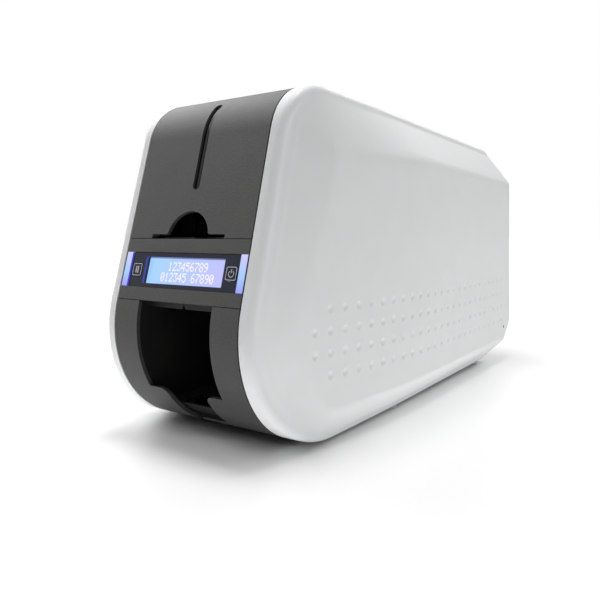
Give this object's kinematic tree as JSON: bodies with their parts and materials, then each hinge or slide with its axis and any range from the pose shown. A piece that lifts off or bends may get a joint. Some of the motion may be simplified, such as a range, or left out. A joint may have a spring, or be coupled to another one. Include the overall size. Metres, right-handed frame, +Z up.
{
  "type": "id card printer",
  "caption": "Desktop card printer with hinged hopper cover, hinged top cover, lit display, output pocket and an inner card drive.",
  "frame": {"origin": "middle of the overall box at table level, under the feet", "axes": "+Z up, front faces -Y, +X to the right seen from the front"},
  "size_m": [0.173, 0.4048, 0.2227],
  "materials": {
    "white_shell": "satin white moulded ABS",
    "grey_cover": "fine-grained dark grey ABS",
    "black_plastic": "matt black moulded plastic",
    "panel_gloss": "glossy blue-black smoked acrylic",
    "display_glass": "blue backlit display",
    "light_guide": "frosted light guide",
    "steel": "zinc-plated sheet steel",
    "rubber": "ground rubber sleeve",
    "clean_rubber": "tacky blue cleaning sleeve",
    "brass": "sintered bronze",
    "gear_plastic": "natural acetal",
    "board": "green solder mask",
    "cartridge": "light grey moulded plastic",
    "ribbon": "dye film",
    "foot_rubber": "light grey rubber",
    "port_metal": "tinned shell",
    "aluminium": "extruded fins"
  },
  "bodies": {
    "chassis": {"left_shell": "white_shell", "right_shell": "white_shell", "base_tray": "grey_cover", "hopper_hinge_pin": "steel", "top_hinge_pin": "steel", "display_bezel": "grey_cover", "display_panel": "panel_gloss", "lcd_module": "display_glass", "light_bars": "light_guide", "display_board": "board", "lower_front": "grey_cover", "output_tray": "black_plastic", "rear_panel": "grey_cover", "power_inlet": "black_plastic", "usb_port": "port_metal", "network_port": "port_metal", "fan_frame": "black_plastic", "left_frame": "steel", "right_frame": "steel", "tie_rods": "steel", "card_hopper": "black_plastic", "card_guide": "steel", "exit_ramp": "steel", "drive_motor": "steel", "gear_pins": "steel", "bushings": "brass", "ribbon_cartridge": "cartridge", "ribbon_film": "ribbon", "main_board": "board", "feet": "foot_rubber", "screws": "steel"},
    "hopper_lid": {"hopper_cover": "grey_cover", "sight_window": "panel_gloss"},
    "top_lid": {"top_cover": "grey_cover", "head_bracket": "steel", "print_head": "aluminium"},
    "pause_key": {"pause_button": "panel_gloss"},
    "power_key": {"power_button": "panel_gloss"},
    "rocker": {"power_rocker": "black_plastic"},
    "weight": {"card_weight": "black_plastic"},
    "diverter": {"diverter_flap": "black_plastic"},
    "platen": {"platen_roller": "rubber", "platen_gear": "gear_plastic"},
    "feed": {"feed_roller": "rubber", "feed_gear": "gear_plastic"},
    "pick": {"pick_roller": "rubber", "pick_gear": "gear_plastic"},
    "exit": {"exit_roller": "rubber", "exit_gear": "gear_plastic"},
    "feed_idle": {"feed_idler": "rubber"},
    "cleaning": {"cleaning_roller": "clean_rubber"},
    "exit_idle": {"exit_idler": "rubber"},
    "transport": {"transport_gear": "gear_plastic"},
    "transfer": {"transfer_gear": "gear_plastic"},
    "exit_drive": {"exit_drive_gear": "gear_plastic"},
    "reduction": {"reduction_gear": "gear_plastic"},
    "pinion": {"motor_pinion": "brass"},
    "supply": {"supply_spool": "ribbon"},
    "takeup": {"takeup_spool": "ribbon"},
    "fan": {"fan_rotor": "black_plastic"}
  },
  "joints": [
    {"name": "hopper_lid_hinge", "type": "hinge", "parent": "chassis", "child": "hopper_lid", "pos_m": [0, -0.0755, 0.21798], "axis": [-1, 0, 0], "range_deg": [0, 60]},
    {"name": "top_lid_hinge", "type": "hinge", "parent": "chassis", "child": "top_lid", "pos_m": [0, 0.1725, 0.2151], "axis": [-1, 0, 0], "range_deg": [0, 60]},
    {"name": "pause_press", "type": "slide", "parent": "chassis", "child": "pause_key", "axis": [0, 0.9673, -0.2538], "range_m": [0, 0.0007], "stiffness_N_per_m": 400, "springref_m": -0.0005},
    {"name": "power_press", "type": "slide", "parent": "chassis", "child": "power_key", "axis": [0, 0.9673, -0.2538], "range_m": [0, 0.0007], "stiffness_N_per_m": 400, "springref_m": -0.0005},
    {"name": "rocker_tilt", "type": "hinge", "parent": "chassis", "child": "rocker", "pos_m": [0, 0.1973, 0.052], "axis": [1, 0, 0], "range_deg": [0, 16]},
    {"name": "weight_lift", "type": "slide", "parent": "chassis", "child": "weight", "axis": [0, 0, 1], "range_m": [0, 0.05]},
    {"name": "diverter_tilt", "type": "hinge", "parent": "chassis", "child": "diverter", "pos_m": [0, -0.0295, 0.1255], "axis": [1, 0, 0], "range_deg": [0, 14]},
    {"name": "platen_spin", "type": "hinge", "parent": "chassis", "child": "platen", "pos_m": [0, 0.0135, 0.12], "axis": [1, 0, 0], "continuous": true},
    {"name": "feed_spin", "type": "hinge", "parent": "chassis", "child": "feed", "pos_m": [0, -0.0615, 0.12], "axis": [1, 0, 0], "continuous": true},
    {"name": "pick_spin", "type": "hinge", "parent": "chassis", "child": "pick", "pos_m": [0, -0.1015, 0.12], "axis": [1, 0, 0], "continuous": true},
    {"name": "exit_spin", "type": "hinge", "parent": "chassis", "child": "exit", "pos_m": [0, -0.1415, 0.08677], "axis": [1, 0, 0], "continuous": true},
    {"name": "feed_idle_spin", "type": "hinge", "parent": "chassis", "child": "feed_idle", "pos_m": [0, -0.0615, 0.134], "axis": [1, 0, 0], "continuous": true},
    {"name": "cleaning_spin", "type": "hinge", "parent": "chassis", "child": "cleaning", "pos_m": [0, -0.0385, 0.134], "axis": [1, 0, 0], "continuous": true},
    {"name": "exit_idle_spin", "type": "hinge", "parent": "chassis", "child": "exit_idle", "pos_m": [0, -0.14399, 0.09851], "axis": [1, 0, 0], "continuous": true},
    {"name": "transport_spin", "type": "hinge", "parent": "chassis", "child": "transport", "pos_m": [0, -0.024, 0.12], "axis": [1, 0, 0], "continuous": true},
    {"name": "transfer_spin", "type": "hinge", "parent": "chassis", "child": "transfer", "pos_m": [0, -0.0815, 0.12], "axis": [1, 0, 0], "continuous": true},
    {"name": "exit_drive_spin", "type": "hinge", "parent": "chassis", "child": "exit_drive", "pos_m": [0, -0.12227, 0.10275], "axis": [1, 0, 0], "continuous": true},
    {"name": "reduction_spin", "type": "hinge", "parent": "chassis", "child": "reduction", "pos_m": [0, 0.0315, 0.096], "axis": [1, 0, 0], "continuous": true},
    {"name": "pinion_spin", "type": "hinge", "parent": "chassis", "child": "pinion", "pos_m": [0, 0.0315, 0.072], "axis": [1, 0, 0], "continuous": true},
    {"name": "supply_spin", "type": "hinge", "parent": "chassis", "child": "supply", "pos_m": [0, 0.0605, 0.159], "axis": [1, 0, 0], "continuous": true},
    {"name": "takeup_spin", "type": "hinge", "parent": "chassis", "child": "takeup", "pos_m": [0, -0.0275, 0.159], "axis": [1, 0, 0], "continuous": true},
    {"name": "fan_spin", "type": "hinge", "parent": "chassis", "child": "fan", "pos_m": [0, 0.1988, 0.14], "axis": [0, 1, 0], "continuous": true}
  ],
  "couplings": [
    {"joint": "transport_spin", "follows": "platen_spin", "ratio": -0.47059},
    {"joint": "feed_spin", "follows": "platen_spin", "ratio": 1},
    {"joint": "transfer_spin", "follows": "platen_spin", "ratio": -1.5},
    {"joint": "pick_spin", "follows": "platen_spin", "ratio": 1},
    {"joint": "exit_drive_spin", "follows": "platen_spin", "ratio": -0.8},
    {"joint": "exit_spin", "follows": "platen_spin", "ratio": 1.2},
    {"joint": "reduction_spin", "follows": "platen_spin", "ratio": -0.66667},
    {"joint": "pinion_spin", "follows": "platen_spin", "ratio": 2},
    {"joint": "feed_idle_spin", "follows": "platen_spin", "ratio": -1.6},
    {"joint": "cleaning_spin", "follows": "platen_spin", "ratio": -1.6},
    {"joint": "exit_idle_spin", "follows": "platen_spin", "ratio": -1.44},
    {"joint": "takeup_spin", "follows": "supply_spin", "ratio": 1.6667}
  ]
}
